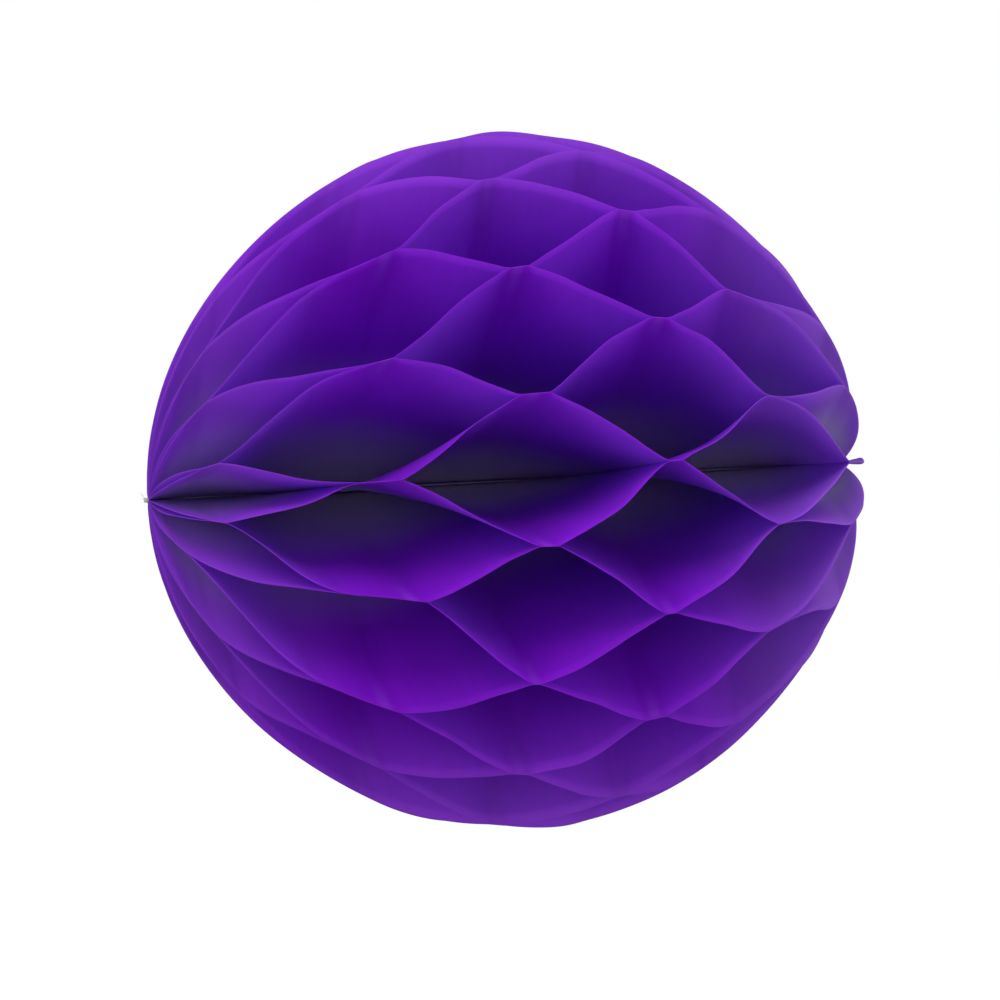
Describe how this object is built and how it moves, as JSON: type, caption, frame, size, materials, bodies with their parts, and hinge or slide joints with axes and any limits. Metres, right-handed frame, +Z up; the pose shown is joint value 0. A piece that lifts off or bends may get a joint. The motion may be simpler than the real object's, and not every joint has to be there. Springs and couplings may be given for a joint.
{
  "type": "honeycomb paper ball",
  "caption": "Round hanging decoration of tissue paper: half-oval leaves fanned about a thread and glued to each other along alternating lines, so that they open into cells.",
  "frame": {"origin": "centre of the ball, on the thread that the leaves fan round", "axes": "+X along the thread towards its longer free end, +Z up as pictured, -Y towards the viewer"},
  "size_m": [0.1065, 0.0998, 0.0996],
  "materials": {
    "tissue": "matt violet tissue paper, slightly translucent",
    "thread": "matt grey cotton thread"
  },
  "bodies": {
    "root": {"leaf_01": "tissue", "leaf_02": "tissue", "leaf_03": "tissue", "leaf_04": "tissue", "leaf_05": "tissue", "leaf_06": "tissue", "leaf_07": "tissue", "leaf_08": "tissue", "leaf_09": "tissue", "leaf_10": "tissue", "leaf_11": "tissue", "leaf_12": "tissue", "leaf_13": "tissue", "leaf_14": "tissue", "leaf_15": "tissue", "leaf_16": "tissue", "leaf_17": "tissue", "leaf_18": "tissue", "leaf_19": "tissue", "leaf_20": "tissue", "leaf_21": "tissue", "leaf_22": "tissue", "leaf_23": "tissue", "leaf_24": "tissue", "leaf_25": "tissue", "leaf_26": "tissue", "leaf_27": "tissue", "leaf_28": "tissue", "leaf_29": "tissue", "leaf_30": "tissue", "leaf_31": "tissue", "leaf_32": "tissue", "leaf_33": "tissue", "leaf_34": "tissue", "spine_thread": "thread"}
  },
  "joints": []
}
